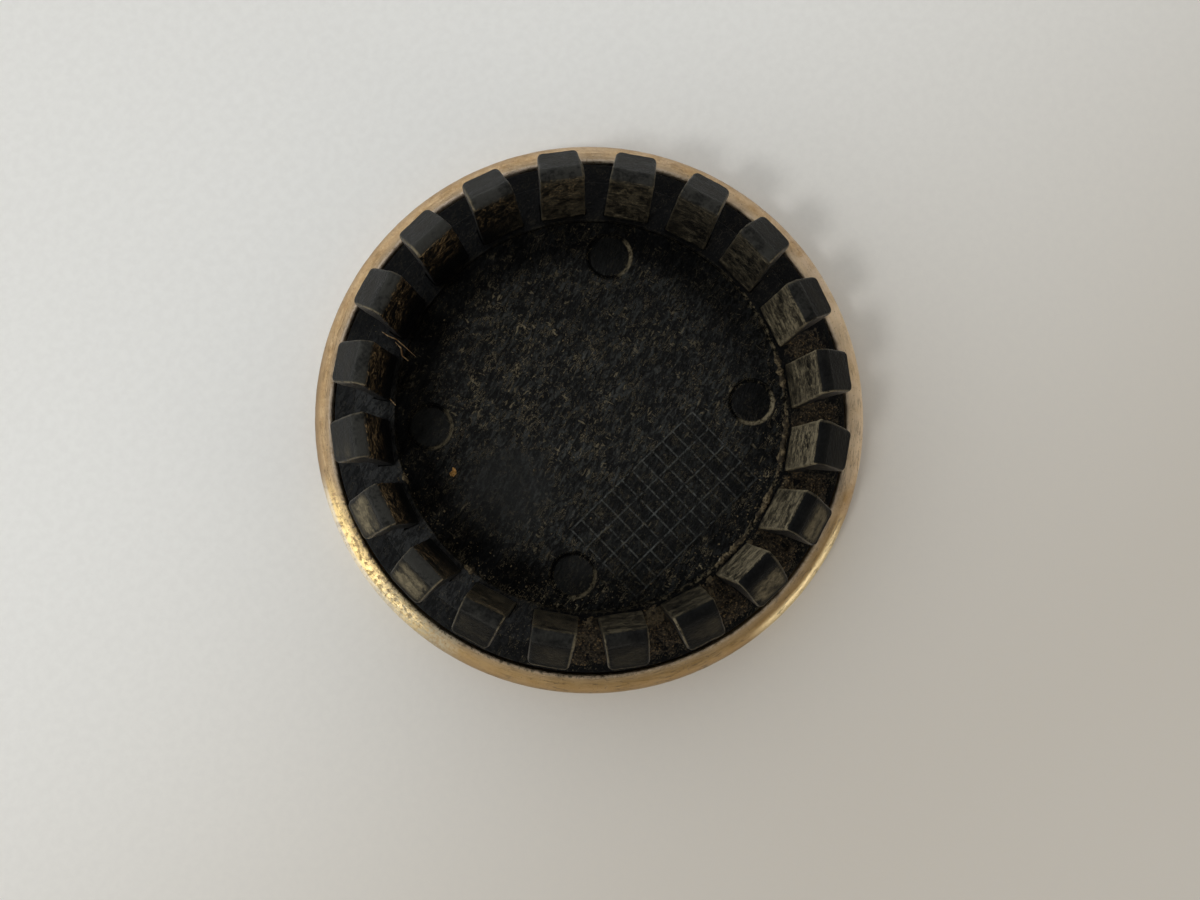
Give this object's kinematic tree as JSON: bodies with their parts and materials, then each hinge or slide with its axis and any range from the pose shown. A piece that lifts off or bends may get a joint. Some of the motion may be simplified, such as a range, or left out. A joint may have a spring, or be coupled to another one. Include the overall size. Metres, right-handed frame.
{
  "type": "wheel centre cap",
  "caption": "Round snap-in wheel centre cap: metallic gold-tan front cover with a beaded rim, and a black moulded clip body whose ring of barbed fingers snaps into a hub hole.",
  "frame": {"origin": "middle of the flat front face, which is the lowest face as modelled", "axes": "+Z from the front face along the cap's axis to the tips of the snap fingers; +X through the middle of one snap finger, along the rows of the date grid on the inner floor; +Y away from the date grid"},
  "size_m": [0.068, 0.068, 0.0208],
  "materials": {
    "gold_finish": "metallic gold-tan paint with fine circular brushing, nicked at the rim's inner edge",
    "black_moulding": "black moulded plastic with a fine grain, dusty inside the ring and worn grey on the barbs"
  },
  "bodies": {
    "root": {"front_cover": "gold_finish", "clip_body": "black_moulding"}
  },
  "joints": []
}
